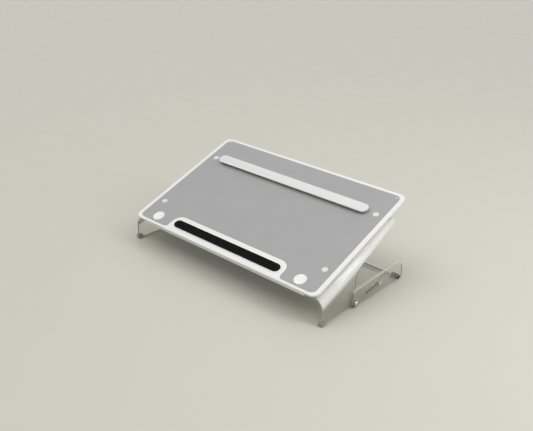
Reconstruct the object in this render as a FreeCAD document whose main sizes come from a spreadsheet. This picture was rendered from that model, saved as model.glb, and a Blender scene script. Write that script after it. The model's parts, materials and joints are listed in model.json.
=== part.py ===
import FreeCAD, Part
import os
import re
import Sketcher
from FreeCAD import Placement, Rotation, Vector

# Writing slope: a tilted board with a page guide and a ledge for pens, which slides forward on a clear
# stand bent from one sheet. The stand's walls are cut out to a C, and two clear leg plates turn on them
# and set the height with pegs in a row of holes. A keyboard goes in underneath.
# Lengths are millimetres and angles are degrees. +Z is up, +Y points to the rear, and the origin lies on
# the desk under the middle of the object.
# Most pieces are drawn in one of two frames. The desk frame starts on the desk right under the board's
# front edge. The slope frame starts at the middle of that edge: X runs across, Y up the slope and Z
# square out of it, so that what is under the board's top has a negative Z.

SIZES = (
    ("front_height", 64.7, "board's top front edge above the desk"),
    ("slope_angle", 20.8, "tilt of the board"),
    ("board_width", 510, "board, side to side"),
    ("board_depth", 319, "board, front edge to rear edge"),
    ("board_thickness", 4, "board sheet"),
    ("board_corner", 15, "radius of the board's corners"),
    ("lip_inset", 28, "board's side edge to the end of the lip under its front edge"),
    ("lip_depth", 10, "board's top to the lip's lower edge"),
    ("lip_thickness", 4, "lip, front to rear"),
    ("lip_corner", 4, "radius of the lip's lower corners"),
    ("lip_bend", 2, "inner radius between the lip and the sheet"),
    ("mat_side_margin", 9.6, "board's side edge to the mat"),
    ("mat_front_margin", 6.3, "board's front edge to the mat"),
    ("mat_rear_margin", 6.7, "board's rear edge to the mat"),
    ("mat_thickness", 1, "mat"),
    ("mat_recess", 0.6, "depth of the recess that the mat lies in"),
    ("mat_corner", 12, "radius of the mat's outer corners"),
    ("notch_side_margin", 12, "end of the pen ledge to the side of the mat's notch"),
    ("notch_rear_margin", 13, "rear of the pen ledge to the rear of the mat's notch"),
    ("notch_corner", 22, "radius of the notch's rear corners"),
    ("notch_foot", 8, "radius where the notch meets the mat's front edge"),
    ("inlay_gap", 0.3, "gap around what is laid into the board or the mat"),
    ("strip_length", 296, "pen ledge, end to end"),
    ("strip_width", 20, "pen ledge, front to rear"),
    ("strip_centre", 25, "board's front edge to the ledge's centre line"),
    ("strip_height", 3.5, "pen ledge, with what is sunk into the board"),
    ("strip_sink", 1, "depth of the groove that the ledge lies in"),
    ("rib_pitch", 4, "groove to groove across the ledge"),
    ("rib_gap", 1.6, "width of a groove between the ledge's ribs"),
    ("rib_depth", 1, "depth of a groove between the ledge's ribs"),
    ("rib_margin", 7, "ledge's end to the end of its grooves"),
    ("disc_diameter", 26, "round inlay on the mat"),
    ("disc_height", 0.4, "thickness of a round inlay"),
    ("disc_inset", 54, "board's side edge to the middle of a round inlay"),
    ("disc_position", 23.5, "board's front edge to the middle of a round inlay"),
    ("runner_inset", 28, "board's side edge to a runner's centre line"),
    ("runner_head_depth", 6, "solid head of a runner, front to rear"),
    ("runner_stem", 8, "width of a runner's stem"),
    ("runner_flange", 18, "width of a runner's flange"),
    ("runner_screw_front", 67.2, "board's front edge to the front runner screws"),
    ("runner_screw_rear", 243.5, "board's front edge to the rear runner screws"),
    ("runner_screw_diameter", 4, "runner screw"),
    ("runner_screw_head", 13, "flat head of a runner screw, across"),
    ("runner_screw_head_height", 1.3, "flat head of a runner screw"),
    ("runner_screw_length", 7.6, "runner screw under its head"),
    ("screw_gap", 0.05, "gap round a screw, pin, peg or rod in its hole"),
    ("pin_diameter", 5, "stop pin through the board"),
    ("pin_margin", 13, "board's rear edge to a stop pin's centre"),
    ("pin_inset", 2.6, "outer side of a shoe to the line of the stop pins"),
    ("pin_height", 0.6, "how far a stop pin stands over the board's top"),
    ("runner_short", 8, "runner's rear end to the stop pin's centre"),
    ("board_gap", 1, "gap between the board and the shoes"),
    ("shoe_width", 26, "shoe, side to side"),
    ("shoe_length", 30, "shoe, front to rear"),
    ("shoe_lip", 1.5, "thickness of the lips over a shoe's channel"),
    ("channel_height", 2.5, "height of a shoe's channel"),
    ("shoe_floor", 4, "thickness of a shoe's floor"),
    ("rear_shoe_start", 163, "board's front edge to the rear shoes, with the board pushed back"),
    ("side_gap", 0.2, "gap beside a runner in its shoe"),
    ("slide_gap", 0.1, "gap above and below a runner's flange"),
    ("stop_gap", 0.3, "gap between a runner's head and the front shoe"),
    ("guide_length", 418, "page guide, end to end"),
    ("guide_width", 24.5, "page guide, front to rear"),
    ("guide_thickness", 3, "page guide"),
    ("guide_lift", 6, "board's top to the underside of the page guide"),
    ("guide_position", 242, "board's front edge to the guide's centre line"),
    ("guide_foot_inset", 19, "guide's end to the middle of its foot"),
    ("guide_foot_width", 16, "foot of the guide, side to side"),
    ("guide_foot_depth", 18, "foot of the guide, front to rear"),
    ("stand_overhang", 10, "board's side edge to the outside of the stand's wall"),
    ("stand_thickness", 5, "clear sheet of the stand"),
    ("bend_radius", 21, "outer radius of the stand's bends"),
    ("stand_front", 12, "board's front edge to the stand's front edge"),
    ("stand_top_end", 262, "board's front edge to the stand's rear edge, up the slope"),
    ("wall_clearance", 2.5, "desk to the walls' lower edge"),
    ("flange_drop_front", 12, "underside of the sheet to its flange's lower edge, at the wall's cut-out"),
    ("flange_drop_rear", 2, "underside of the sheet to its flange's lower edge, at the stand's rear edge"),
    ("flange_tip", 2, "radius of the flange's rear corner"),
    ("pivot_position", 117, "board's front edge to the pivot, level"),
    ("pivot_height", 8, "desk to the pivot"),
    ("pivot_land", 8, "pivot to the wall's edge behind it"),
    ("wall_toe", 3, "radius of the wall's front bottom corner"),
    ("wall_heel", 4, "radius of the wall's bottom corner behind the pivot"),
    ("heel_hollow", 3, "radius between the wall's bottom corner and the arm"),
    ("cutout_offset", 1, "pivot to the front of the wall's cut-out, level"),
    ("cutout_low", 6, "radius of the cut-out's lower front corner"),
    ("cutout_high", 18, "radius of the cut-out's upper front corner"),
    ("arm_reach", 105, "pivot to the tip of the wall's rear arm, level"),
    ("arm_angle", 11.9, "rise of the arm's lower edge, which starts at the pivot's centre"),
    ("arm_tip_height", 5.9, "height of the arm at its tip"),
    ("arm_tip_corner", 2.4, "radius of the corners at the arm's tip"),
    ("foot_toe", 2, "stand's front edge to the front of a front foot"),
    ("foot_length", 12, "front foot, front to rear"),
    ("foot_side", 2.5, "thickness of a front foot beside the wall"),
    ("foot_height", 9, "front foot"),
    ("foot_gap", 0.1, "gap between a front foot and the wall in its slot"),
    ("leg_gap", 0.3, "gap between a wall and the leg plate beside it"),
    ("leg_thickness", 5, "leg plate"),
    ("leg_nose", 11, "pivot to the leg's front, level"),
    ("leg_reach", 170, "pivot to the leg's rear, level"),
    ("leg_slant", 3, "how far the leg's rear edge leans forward at its top"),
    ("leg_clearance", 1.5, "desk to the leg's lower edge"),
    ("leg_front_top", 38, "desk to the leg's top at its front"),
    ("leg_rear_top", 43.5, "desk to the leg's top at its rear"),
    ("leg_front_corner", 7, "radius of the leg's front corners"),
    ("leg_rear_corner", 26, "radius of the leg's rear top corner"),
    ("leg_heel", 5, "radius of the leg's rear bottom corner"),
    ("hole_inset", 26.5, "arm's tip to the last peg hole, level"),
    ("hole_pitch", 10.4, "peg hole to peg hole, level"),
    ("hole_rise", 1, "peg hole to peg hole, upward"),
    ("peg_diameter", 5, "peg"),
    ("peg_gap", 0.3, "gap between the peg and the arm's lower edge"),
    ("peg_reach", 1, "how far the peg sticks out inside the wall"),
    ("peg_head", 8, "head of a peg, across"),
    ("peg_head_length", 4, "head of a peg, end to end"),
    ("pivot_diameter", 6, "pivot screw"),
    ("pivot_head", 11, "head of a pivot screw, across"),
    ("pivot_head_length", 3, "head of a pivot screw"),
    ("pivot_nut_width", 10, "nut of a pivot screw, across its flats"),
    ("pivot_nut_height", 4, "nut of a pivot screw"),
    ("pivot_tail", 1, "what a pivot screw sticks out of its nut"),
    ("rod_inset", 13, "leg's rear to the cross rod"),
    ("rod_diameter", 5, "cross rod"),
    ("sleeve_diameter", 11, "soft sleeve at each end of the rod, across"),
    ("sleeve_length", 14, "soft sleeve at each end of the rod, end to end"),
    ("sleeve_gap", 0.3, "gap between the sleeve's end and a leg plate"),
    ("rod_cap_diameter", 8, "button on the rod's end, across"),
    ("rod_cap_length", 2.5, "button on the rod's end, end to end"),
)

PEG_HOLES = 5
SIDES = (("left", -1), ("right", 1))

# Places that several pieces share, worked out from the sizes. Heights with a minus are in the slope frame.
FRONT_EDGE = "-(board_depth * cos(slope_angle) + board_thickness * sin(slope_angle)) / 2"
SHOE_TOP = "(-board_thickness - board_gap)"
CHANNEL_TOP = f"({SHOE_TOP} - shoe_lip)"
CHANNEL_FLOOR = f"({CHANNEL_TOP} - channel_height)"
SHEET_TOP = f"({CHANNEL_FLOOR} - shoe_floor)"
SHEET_UNDERSIDE = f"({SHEET_TOP} - stand_thickness)"
FLANGE_TOP = f"({CHANNEL_TOP} - slide_gap)"
FLANGE_UNDERSIDE = f"({CHANNEL_FLOOR} + slide_gap)"
MAT_TOP = "(mat_thickness - mat_recess)"
RUNNER_OFFSET = "(board_width / 2 - runner_inset)"
RUNNER_HEAD_START = "(lip_thickness + lip_bend)"
RUNNER_START = f"({RUNNER_HEAD_START} + runner_head_depth)"
PIN_OFFSET = f"({RUNNER_OFFSET} + shoe_width / 2 - pin_inset)"
PIN_POSITION = "(board_depth - pin_margin)"
RUNNER_SCREWS = ("runner_screw_front", "runner_screw_rear")
SHOE_STARTS = {"front": f"({RUNNER_START} + stop_gap)", "rear": "rear_shoe_start"}
WALL_OUTSIDE = "(board_width / 2 + stand_overhang)"
WALL_INSIDE = f"({WALL_OUTSIDE} - stand_thickness)"
LEG_INSIDE = f"({WALL_OUTSIDE} + leg_gap)"
LEG_OUTSIDE = f"({LEG_INSIDE} + leg_thickness)"
ROD_POSITION = "(pivot_position + leg_reach - rod_inset)"
ROD_HEIGHT = "(sleeve_diameter / 2)"

doc = FreeCAD.newDocument("writing_slope")
sheet = doc.addObject("Spreadsheet::Sheet", "sizes")
for row, (alias, number, meaning) in enumerate(SIZES, 1):
    sheet.set(f"A{row}", meaning)
    sheet.set(f"B{row}", str(number))
    sheet.setAlias(f"B{row}", alias)
doc.recompute()


def bind(target, name, text):
    """Tie a property or a constraint to sizes of the sheet, which the text names by their aliases."""
    target.setExpression(name, re.sub(r"\b([a-z]+(?:_[a-z]+)+)\b", r"sizes.\1", text))


def add_body(label, on_slope, solids=1):
    """A piece of the object, or a group of alike pieces, in the slope frame or the desk frame."""
    body = doc.addObject("PartDesign::Body", label)
    body.Label = label
    body.AllowCompound = solids > 1
    body.addProperty("App::PropertyInteger", "SolidCount", "Piece", "separate solids in this body")
    body.SolidCount = solids
    body.Placement = Placement(Vector(), Rotation(Vector(1, 0, 0), 1))
    bind(body, "Placement.Base.y", FRONT_EDGE)
    bind(body, "Placement.Base.z", "front_height" if on_slope else "0")
    bind(body, "Placement.Rotation.Angle", "slope_angle * 1 deg" if on_slope else "0 deg")
    return body


def add_sketch(body, name, plane, origin=("0", "0", "0"), tilt=None):
    """A sketch on one of the body's own planes, moved within that plane, along its normal, and tilted."""
    sketch = body.newObject("Sketcher::SketchObject", name)
    support = next(item for item in body.Origin.OriginFeatures if item.Role == plane)
    sketch.AttachmentSupport = (support, [""])
    sketch.MapMode = "FlatFace"
    if tilt:
        sketch.AttachmentOffset = Placement(Vector(), Rotation(Vector(1, 0, 0), 1))
        bind(sketch, "AttachmentOffset.Rotation.Angle", f"{tilt} * 1 deg")
    for axis, text in zip("xyz", origin):
        bind(sketch, f"AttachmentOffset.Base.{axis}", text)
    return sketch


def place_point(sketch, item, point, across, up):
    """Fix one point of a sketch's item at two distances from the sketch's origin."""
    for kind, text in (("DistanceX", across), ("DistanceY", up)):
        number = sketch.addConstraint(Sketcher.Constraint(kind, -1, 1, item, point, 1))
        bind(sketch, f"Constraints[{number}]", text)


def add_outline(sketch, corners):
    """Closed outline of straight lines; each corner is a pair of texts, across and up."""
    first = sketch.GeometryCount
    count = len(corners)
    loop = Part.makeCircle(10).discretize(count + 1)
    for number in range(count):
        sketch.addGeometry(Part.LineSegment(loop[number], loop[number + 1]), False)
    for number, (across, up) in enumerate(corners):
        following = first + (number + 1) % count
        sketch.addConstraint(Sketcher.Constraint("Coincident", first + number, 2, following, 1))
        place_point(sketch, first + number, 1, across, up)
    doc.recompute()


def rectangle(left, low, right, high):
    """Corners of a rectangle, from its lower left one, anticlockwise."""
    return ((left, low), (right, low), (right, high), (left, high))


def add_circle(sketch, across, up, diameter):
    """Circle with its centre placed by two texts."""
    item = sketch.addGeometry(Part.Circle(Vector(), Vector(0, 0, 1), 1), False)
    place_point(sketch, item, 3, across, up)
    number = sketch.addConstraint(Sketcher.Constraint("Diameter", item, 1))
    bind(sketch, f"Constraints[{number}]", diameter)


def add_slot(sketch, centre, length, width):
    """Slot with round ends that lies across the slope, centred on the middle."""
    ends = []
    for sign in (-1, 1):
        circle = Part.Circle(Vector(sign * 20, 0, 0), Vector(0, 0, 1), 5)
        start = 0.5 if sign < 0 else -0.5
        arc = Part.ArcOfCircle(circle, start * 3.1416, (start + 1) * 3.1416)
        item = sketch.addGeometry(arc, False)
        place_point(sketch, item, 3, f"{sign} * (({length}) - ({width})) / 2", centre)
        ends.append(item)
    for left_end, right_end, height in ((2, 1, -5), (1, 2, 5)):
        line = Part.LineSegment(Vector(-20, height, 0), Vector(20, height, 0))
        item = sketch.addGeometry(line, False)
        sketch.addConstraint(Sketcher.Constraint("Tangent", ends[0], left_end, item, 1))
        sketch.addConstraint(Sketcher.Constraint("Tangent", item, 2, ends[1], right_end))
    sketch.addConstraint(Sketcher.Constraint("Equal", ends[0], ends[1]))
    number = sketch.addConstraint(Sketcher.Constraint("Diameter", ends[0], 10))
    bind(sketch, f"Constraints[{number}]", width)
    doc.recompute()


def finish(body, feature):
    """Work a new feature out and stop if it fails."""
    doc.recompute()
    if "Invalid" in feature.State or feature.Shape.isNull() or not feature.Shape.isValid():
        raise ValueError(f"{body.Label}: {feature.Label} failed")
    return feature


def pad(body, sketch, length, backward=False, symmetric=False):
    """Solid of a sketch, along the sketch's normal, against it or half each way."""
    feature = body.newObject("PartDesign::Pad", "pad")
    feature.Profile = sketch
    feature.SideType = "Symmetric" if symmetric else "One side"
    feature.Reversed = backward
    bind(feature, "Length", length)
    return finish(body, feature)


def pocket(body, sketch, depth=None, backward=False):
    """Cut a sketch out of the body: to a depth, or right through both ways where no depth is given."""
    before = body.Shape.Volume
    feature = body.newObject("PartDesign::Pocket", "pocket")
    feature.Profile = sketch
    feature.Reversed = backward
    if depth:
        feature.SideType = "One side"
        bind(feature, "Length", depth)
    else:
        feature.SideType = "Symmetric"
        feature.Type = "ThroughAll"
    finish(body, feature)
    if not feature.Shape.Volume < before:
        raise ValueError(f"{body.Label}: a pocket cuts nothing")
    return feature


def turn(body, sketch, axis):
    """Solid of a sketch turned a full circle about one of its own axes."""
    feature = body.newObject("PartDesign::Revolution", "turned")
    feature.Profile = sketch
    feature.ReferenceAxis = (sketch, [axis])
    feature.Angle = 360
    return finish(body, feature)


def mirror(body, features):
    """Repeat features on the other side of the middle plane."""
    feature = body.newObject("PartDesign::Mirrored", "mirrored")
    feature.Originals = features
    plane = next(item for item in body.Origin.OriginFeatures if item.Role == "YZ_Plane")
    feature.MirrorPlane = (plane, [""])
    body.Tip = feature
    return finish(body, feature)


def straight_edges(feature, sketch, corners):
    """Edges of a feature that stand on a sketch's corners, square to the sketch."""
    normal = sketch.Placement.Rotation.multVec(Vector(0, 0, 1))
    places = [sketch.Placement.multVec(sketch.getPoint(corner, 1)) for corner in corners]
    found = []
    for number, edge in enumerate(feature.Shape.Edges, 1):
        if edge.Curve.TypeId != "Part::GeomLine" or abs(edge.Curve.Direction.dot(normal)) < 0.999:
            continue
        for place in places:
            gap = edge.Vertexes[0].Point - place
            if (gap - normal * gap.dot(normal)).Length < 0.001:
                found.append(f"Edge{number}")
    return found


def marked_edges(body, feature, plane, across, up):
    """Edges of a feature that stand on one marked point of a plane, square to the plane."""
    mark = add_sketch(body, "edge_mark", plane)
    item = mark.addGeometry(Part.Point(Vector(1, 1, 0)), False)
    place_point(mark, item, 1, across, up)
    doc.recompute()
    return straight_edges(feature, mark, (item,))


def fillet(body, feature, edges, radius):
    """Round edges of the body's last feature."""
    if not edges:
        raise ValueError(f"{body.Label}: no edge to round by {radius}")
    rounded = body.newObject("PartDesign::Fillet", "rounded")
    rounded.Base = (feature, edges)
    bind(rounded, "Radius", radius)
    return finish(body, rounded)


def round_corners(body, feature, sketch, corners_by_radius):
    """Round the upright edges over a sketch's corners, each group of corners with its own radius."""
    for radius, corners in corners_by_radius.items():
        feature = fillet(body, feature, straight_edges(feature, sketch, corners), radius)
    return feature


def mat_corners(grow):
    """The mat's outline with its notch, grown outward by a gap; corner 0 is the front left one."""
    side = f"(board_width / 2 - mat_side_margin + {grow})"
    front = f"(mat_front_margin - {grow})"
    rear = f"(board_depth - mat_rear_margin + {grow})"
    notch_side = f"(strip_length / 2 + notch_side_margin - {grow})"
    notch_rear = f"(strip_centre + strip_width / 2 + notch_rear_margin - {grow})"
    return (
        (f"-{side}", front),
        (f"-{notch_side}", front),
        (f"-{notch_side}", notch_rear),
        (notch_side, notch_rear),
        (notch_side, front),
        (side, front),
        (side, rear),
        (f"-{side}", rear),
    )


def round_mat(body, feature, sketch, grow):
    """Round the corners of the mat, or of the recess that it lies in."""
    return round_corners(body, feature, sketch, {
        f"mat_corner + {grow}": (0, 5, 6, 7),
        f"notch_foot + {grow}": (1, 4),
        f"notch_corner - {grow}": (2, 3),
    })


def add_holes(sketch, offset, places, diameter):
    """Circles in mirrored pairs, at each of the places up the slope."""
    for _, sign in SIDES:
        for place in places:
            add_circle(sketch, f"{sign} * {offset}", place, diameter)


def make_board():
    """White sheet with a lip bent down along its front, a recess for the mat and a groove for the ledge."""
    body = add_body("board", True)
    plate_sketch = add_sketch(body, "plate_outline", "XY_Plane")
    add_outline(plate_sketch, rectangle("-board_width / 2", "0", "board_width / 2", "board_depth"))
    plate = pad(body, plate_sketch, "board_thickness", backward=True)
    round_corners(body, plate, plate_sketch, {"board_corner": (0, 1, 2, 3)})

    lip_sketch = add_sketch(body, "lip_front", "XZ_Plane")
    lip_side = "(board_width / 2 - lip_inset)"
    add_outline(lip_sketch, rectangle(f"-{lip_side}", "-lip_depth", lip_side, "0"))
    lip = pad(body, lip_sketch, "lip_thickness", backward=True)
    lip = round_corners(body, lip, lip_sketch, {"lip_corner": (0, 1)})
    inner_edge = marked_edges(body, lip, "YZ_Plane", "lip_thickness", "-board_thickness")
    fillet(body, lip, inner_edge, "lip_bend")

    recess_sketch = add_sketch(body, "recess_outline", "XY_Plane")
    add_outline(recess_sketch, mat_corners("inlay_gap"))
    recess = pocket(body, recess_sketch, "mat_recess")
    round_mat(body, recess, recess_sketch, "inlay_gap")

    groove_sketch = add_sketch(body, "ledge_groove", "XY_Plane")
    add_slot(groove_sketch, "strip_centre", "strip_length + 2 * inlay_gap", "strip_width + 2 * inlay_gap")
    pocket(body, groove_sketch, "strip_sink")

    hole_sketch = add_sketch(body, "screw_and_pin_holes", "XY_Plane")
    add_holes(hole_sketch, RUNNER_OFFSET, RUNNER_SCREWS, "runner_screw_diameter + 2 * screw_gap")
    add_holes(hole_sketch, PIN_OFFSET, (PIN_POSITION,), "pin_diameter + 2 * screw_gap")
    pocket(body, hole_sketch)


def make_mat():
    """Grey covering, with holes around the screws' heads and the stop pins."""
    body = add_body("mat", True)
    sketch = add_sketch(body, "mat_outline", "XY_Plane", ("0", "0", "-mat_recess"))
    add_outline(sketch, mat_corners("0"))
    round_mat(body, pad(body, sketch, "mat_thickness"), sketch, "0")
    hole_sketch = add_sketch(body, "mat_holes", "XY_Plane")
    add_holes(hole_sketch, RUNNER_OFFSET, RUNNER_SCREWS, "runner_screw_head + 2 * inlay_gap")
    add_holes(hole_sketch, PIN_OFFSET, (PIN_POSITION,), "pin_diameter + 2 * inlay_gap")
    pocket(body, hole_sketch)


def make_pen_strip():
    """Soft ledge with round ends and four grooves along it."""
    body = add_body("pen_strip", True)
    sketch = add_sketch(body, "ledge_outline", "XY_Plane", ("0", "0", "-strip_sink"))
    add_slot(sketch, "strip_centre", "strip_length", "strip_width")
    pad(body, sketch, "strip_height")
    groove_sketch = add_sketch(body, "rib_gaps", "XY_Plane", ("0", "0", "strip_height - strip_sink"))
    side = "(strip_length / 2 - rib_margin)"
    for number in (-1.5, -0.5, 0.5, 1.5):
        centre = f"(strip_centre + {number} * rib_pitch)"
        add_outline(groove_sketch, rectangle(f"-{side}", f"{centre} - rib_gap / 2",
                                             side, f"{centre} + rib_gap / 2"))
    pocket(body, groove_sketch, "rib_depth")


def make_turned_pairs(label, offset, places, profile):
    """Round pieces that stand on the slope in mirrored pairs; the profile gives radius and height."""
    body = add_body(label, True, 2 * len(places))
    turned = []
    for place in places:
        sketch = add_sketch(body, "profile", "XZ_Plane", (offset, "0", f"-({place})"))
        add_outline(sketch, profile)
        turned.append(turn(body, sketch, "V_Axis"))
    mirror(body, turned)


def make_badge_discs():
    """Bare round inlays on the mat."""
    make_turned_pairs("badge_discs", "(board_width / 2 - disc_inset)", ("disc_position",),
                      rectangle("0", MAT_TOP, "disc_diameter / 2", f"{MAT_TOP} + disc_height"))


def make_runner_screws():
    """White screws with wide flat heads, from the board's top down into the runners."""
    seat = "-mat_recess"
    head = "runner_screw_head / 2"
    shank = "runner_screw_diameter / 2"
    make_turned_pairs("runner_screws", RUNNER_OFFSET, RUNNER_SCREWS, (
        ("0", f"{seat} - runner_screw_length"),
        (shank, f"{seat} - runner_screw_length"),
        (shank, seat),
        (head, seat),
        (head, f"{seat} + runner_screw_head_height"),
        ("0", f"{seat} + runner_screw_head_height"),
    ))


def make_stop_pins():
    """Pins through the board that meet the rear shoes when the board is pulled out."""
    make_turned_pairs("stop_pins", PIN_OFFSET, (PIN_POSITION,),
                      rectangle("0", CHANNEL_FLOOR, "pin_diameter / 2", "pin_height"))


def make_runner(side, sign):
    """T-section rail under the board, with a full-width head at its front that stops on the shoe."""
    body = add_body(f"runner_{side}", True)
    centre = f"{sign} * {RUNNER_OFFSET}"
    sketch = add_sketch(body, "rail_section", "XZ_Plane", (centre, "0", f"-{RUNNER_START}"))
    stem = "runner_stem / 2"
    flange = "runner_flange / 2"
    add_outline(sketch, (
        (f"-{flange}", FLANGE_UNDERSIDE),
        (flange, FLANGE_UNDERSIDE),
        (flange, FLANGE_TOP),
        (stem, FLANGE_TOP),
        (stem, "-board_thickness"),
        (f"-{stem}", "-board_thickness"),
        (f"-{stem}", FLANGE_TOP),
        (f"-{flange}", FLANGE_TOP),
    ))
    pad(body, sketch, f"{PIN_POSITION} - runner_short - {RUNNER_START}", backward=True)
    head_sketch = add_sketch(body, "head_section", "XZ_Plane", (centre, "0", f"-{RUNNER_START}"))
    half = "shoe_width / 2"
    add_outline(head_sketch, rectangle(f"-{half}", FLANGE_UNDERSIDE, half, "-board_thickness"))
    pad(body, head_sketch, "runner_head_depth")
    hole_sketch = add_sketch(body, "screw_holes", "XY_Plane", ("0", "0", "-board_thickness"))
    for place in RUNNER_SCREWS:
        add_circle(hole_sketch, centre, place, "runner_screw_diameter + 2 * screw_gap")
    pocket(body, hole_sketch, "mat_recess + runner_screw_length - board_thickness + screw_gap")


def make_shoe(end, side, sign):
    """Channel that holds a runner's flange under its two lips, on the clear sheet."""
    body = add_body(f"shoe_{end}_{side}", True)
    start = SHOE_STARTS[end]
    centre = f"{sign} * {RUNNER_OFFSET}"
    sketch = add_sketch(body, "shoe_section", "XZ_Plane", (centre, "0", f"-{start}"))
    outer = "shoe_width / 2"
    channel = "(runner_flange / 2 + side_gap)"
    slit = "(runner_stem / 2 + side_gap)"
    add_outline(sketch, (
        (f"-{outer}", SHEET_TOP),
        (outer, SHEET_TOP),
        (outer, SHOE_TOP),
        (slit, SHOE_TOP),
        (slit, CHANNEL_TOP),
        (channel, CHANNEL_TOP),
        (channel, CHANNEL_FLOOR),
        (f"-{channel}", CHANNEL_FLOOR),
        (f"-{channel}", CHANNEL_TOP),
        (f"-{slit}", CHANNEL_TOP),
        (f"-{slit}", SHOE_TOP),
        (f"-{outer}", SHOE_TOP),
    ))
    pad(body, sketch, "shoe_length", backward=True)


def make_guide():
    """Page guide: a bar with round ends, held clear of the mat by a soft foot near each end."""
    body = add_body("guide_bar", True)
    sketch = add_sketch(body, "bar_outline", "XY_Plane", ("0", "0", "guide_lift"))
    add_slot(sketch, "guide_position", "guide_length", "guide_width")
    pad(body, sketch, "guide_thickness")
    for side, sign in SIDES:
        foot = add_body(f"guide_foot_{side}", True)
        foot_sketch = add_sketch(foot, "foot_outline", "XY_Plane", ("0", "0", MAT_TOP))
        centre = f"{sign} * (guide_length / 2 - guide_foot_inset)"
        add_outline(foot_sketch, rectangle(
            f"{centre} - guide_foot_width / 2", "guide_position - guide_foot_depth / 2",
            f"{centre} + guide_foot_width / 2", "guide_position + guide_foot_depth / 2"))
        pad(foot, foot_sketch, f"guide_lift - {MAT_TOP}")


def level(slope_y, slope_z):
    """Desk-frame position, level and up, of a point given in the slope frame."""
    return (
        f"(({slope_y}) * cos(slope_angle) - ({slope_z}) * sin(slope_angle))",
        f"(front_height + ({slope_y}) * sin(slope_angle) + ({slope_z}) * cos(slope_angle))",
    )


def arm_height(distance):
    """Height of the arm's lower edge at a level distance behind the pivot, where it starts."""
    return f"(pivot_height + ({distance}) * tan(arm_angle))"


def make_stand():
    """One clear sheet: a long strip bent down at both sides, trimmed to the walls' C-shaped outline."""
    body = add_body("stand", False)
    rear_y, rear_z = level("stand_top_end", "0")
    section = add_sketch(body, "bent_section", "XZ_Plane", ("0", rear_z, f"-{rear_y}"), "slope_angle")
    blank_edge = "-(front_height + board_depth)"
    add_outline(section, (
        (f"-{WALL_OUTSIDE}", blank_edge),
        (f"-{WALL_OUTSIDE}", SHEET_TOP),
        (WALL_OUTSIDE, SHEET_TOP),
        (WALL_OUTSIDE, blank_edge),
        (WALL_INSIDE, blank_edge),
        (WALL_INSIDE, SHEET_UNDERSIDE),
        (f"-{WALL_INSIDE}", SHEET_UNDERSIDE),
        (f"-{WALL_INSIDE}", blank_edge),
    ))
    blank = pad(body, section, "stand_top_end + front_height")
    round_corners(body, blank, section, {
        "bend_radius - stand_thickness": (5, 6),
        "bend_radius": (1, 2),
    })

    # The trim takes away all that lies between a large frame and the wall's outline.
    trim = add_sketch(body, "wall_outline", "YZ_Plane")
    far = "(2 * board_depth)"
    heel = "(pivot_position + pivot_land)"
    arm_end = "(pivot_position + arm_reach)"
    arm_top = f"({arm_height('arm_reach')} + arm_tip_height)"
    cutout_front = "(pivot_position + cutout_offset)"
    flange_front = f"({SHEET_UNDERSIDE} - flange_drop_front)"
    flange_rear = f"({SHEET_UNDERSIDE} - flange_drop_rear)"
    flange_start = f"(({cutout_front} + {flange_front} * sin(slope_angle)) / cos(slope_angle))"
    # The flange's lower edge rises toward the sheet, and its line goes on past the rear edge.
    flange_far = (f"2 * stand_top_end - {flange_start}", f"2 * {flange_rear} - {flange_front}")
    flange_far_y, flange_far_z = level(*flange_far)
    add_outline(trim, (
        ("stand_front", "wall_clearance"),
        (heel, "wall_clearance"),
        (heel, arm_height("pivot_land")),
        (arm_end, arm_height("arm_reach")),
        (arm_end, arm_top),
        (cutout_front, arm_top),
        (cutout_front, level(flange_start, flange_front)[1]),
        (flange_far_y, flange_far_z),
        (flange_far_y, far),
        ("stand_front", far),
    ))
    add_outline(trim, rectangle(f"-{far}", f"-{far}", f"2 * {far}", f"2 * {far}"))
    wall = pocket(body, trim)
    wall = round_corners(body, wall, trim, {
        "wall_toe": (0,),
        "wall_heel": (1,),
        "heel_hollow": (2,),
        "arm_tip_corner": (3, 4),
        "cutout_low": (5,),
        "cutout_high": (6,),
    })
    tip = marked_edges(body, wall, "YZ_Plane", *level("stand_top_end", flange_rear))
    fillet(body, wall, tip, "flange_tip")

    pivot = add_sketch(body, "pivot_holes", "YZ_Plane")
    add_circle(pivot, "pivot_position", "pivot_height", "pivot_diameter + 2 * screw_gap")
    pocket(body, pivot)


def make_front_foot(side, sign):
    """Soft shoe under the wall's front corner, with a slot that is open at the top and the rear."""
    body = add_body(f"front_foot_{side}", False)
    foot_start = "(stand_front - foot_toe)"
    foot_end = f"({foot_start} + foot_length)"
    inner = f"{sign} * ({WALL_INSIDE} - foot_side)"
    outer = f"{sign} * ({WALL_OUTSIDE} + foot_side)"
    plan = add_sketch(body, "foot_plan", "XY_Plane")
    add_outline(plan, rectangle(inner, foot_start, outer, foot_end))
    pad(body, plan, "foot_height")
    slot = add_sketch(body, "foot_slot", "XZ_Plane", ("0", "0", f"-{foot_end}"))
    add_outline(slot, rectangle(f"{sign} * ({WALL_INSIDE} - foot_gap)", "wall_clearance",
                                f"{sign} * ({WALL_OUTSIDE} + foot_gap)", "2 * foot_height"))
    pocket(body, slot, "foot_length - foot_toe + foot_gap", backward=True)


def last_peg_hole():
    """The hole that holds the peg at rest: the arm's lower edge bears on the peg there."""
    distance = "(arm_reach - hole_inset)"
    drop = "(peg_diameter / 2 + peg_gap) / cos(arm_angle)"
    return (f"(pivot_position + {distance})", f"({arm_height(distance)} - {drop})")


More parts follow.
